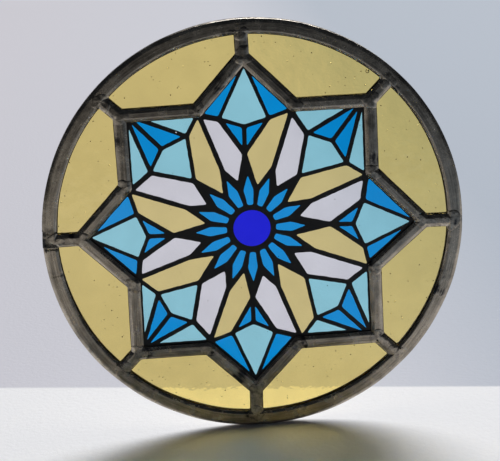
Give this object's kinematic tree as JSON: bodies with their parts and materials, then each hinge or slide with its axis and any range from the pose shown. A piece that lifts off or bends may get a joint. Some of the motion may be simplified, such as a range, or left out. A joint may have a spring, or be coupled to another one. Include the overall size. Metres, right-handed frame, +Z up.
{
  "type": "rose window",
  "caption": "Round leaded glass light: a painted star of clear glass and amber panes held in lead cames, to hang in a window or to let into a frame.",
  "frame": {"origin": "middle of the rim's outer edge at the very top, where the light is hung", "axes": "+Z up along the light's height; the painted front faces -Y; +X to the right seen from the front"},
  "size_m": [0.25, 0.008, 0.25],
  "materials": {
    "lead": "dull lead, darkened by age, with brighter streaks and soldered joints",
    "amber_glass": "clear amber cathedral glass, slightly wavy, with seeds",
    "painted_glass": "clear glass painted on its face with black lines and clear amber, light blue, blue and deep blue"
  },
  "bodies": {
    "root": {"star_came_top_clockwise": "lead", "star_came_top_anticlockwise": "lead", "star_came_upper_right_clockwise": "lead", "star_came_upper_right_anticlockwise": "lead", "star_came_right_clockwise": "lead", "star_came_right_anticlockwise": "lead", "star_came_lower_right_clockwise": "lead", "star_came_lower_right_anticlockwise": "lead", "star_came_bottom_clockwise": "lead", "star_came_bottom_anticlockwise": "lead", "star_came_lower_left_clockwise": "lead", "star_came_lower_left_anticlockwise": "lead", "star_came_left_clockwise": "lead", "star_came_left_anticlockwise": "lead", "star_came_upper_left_clockwise": "lead", "star_came_upper_left_anticlockwise": "lead", "spoke_came_top": "lead", "spoke_came_upper_right": "lead", "spoke_came_right": "lead", "spoke_came_lower_right": "lead", "spoke_came_bottom": "lead", "spoke_came_lower_left": "lead", "spoke_came_left": "lead", "spoke_came_upper_left": "lead", "rim_came": "lead", "painted_star_pane": "painted_glass", "amber_pane_top_to_upper_right": "amber_glass", "amber_pane_upper_right_to_right": "amber_glass", "amber_pane_right_to_lower_right": "amber_glass", "amber_pane_lower_right_to_bottom": "amber_glass", "amber_pane_bottom_to_lower_left": "amber_glass", "amber_pane_lower_left_to_left": "amber_glass", "amber_pane_left_to_upper_left": "amber_glass", "amber_pane_upper_left_to_top": "amber_glass"}
  },
  "joints": []
}
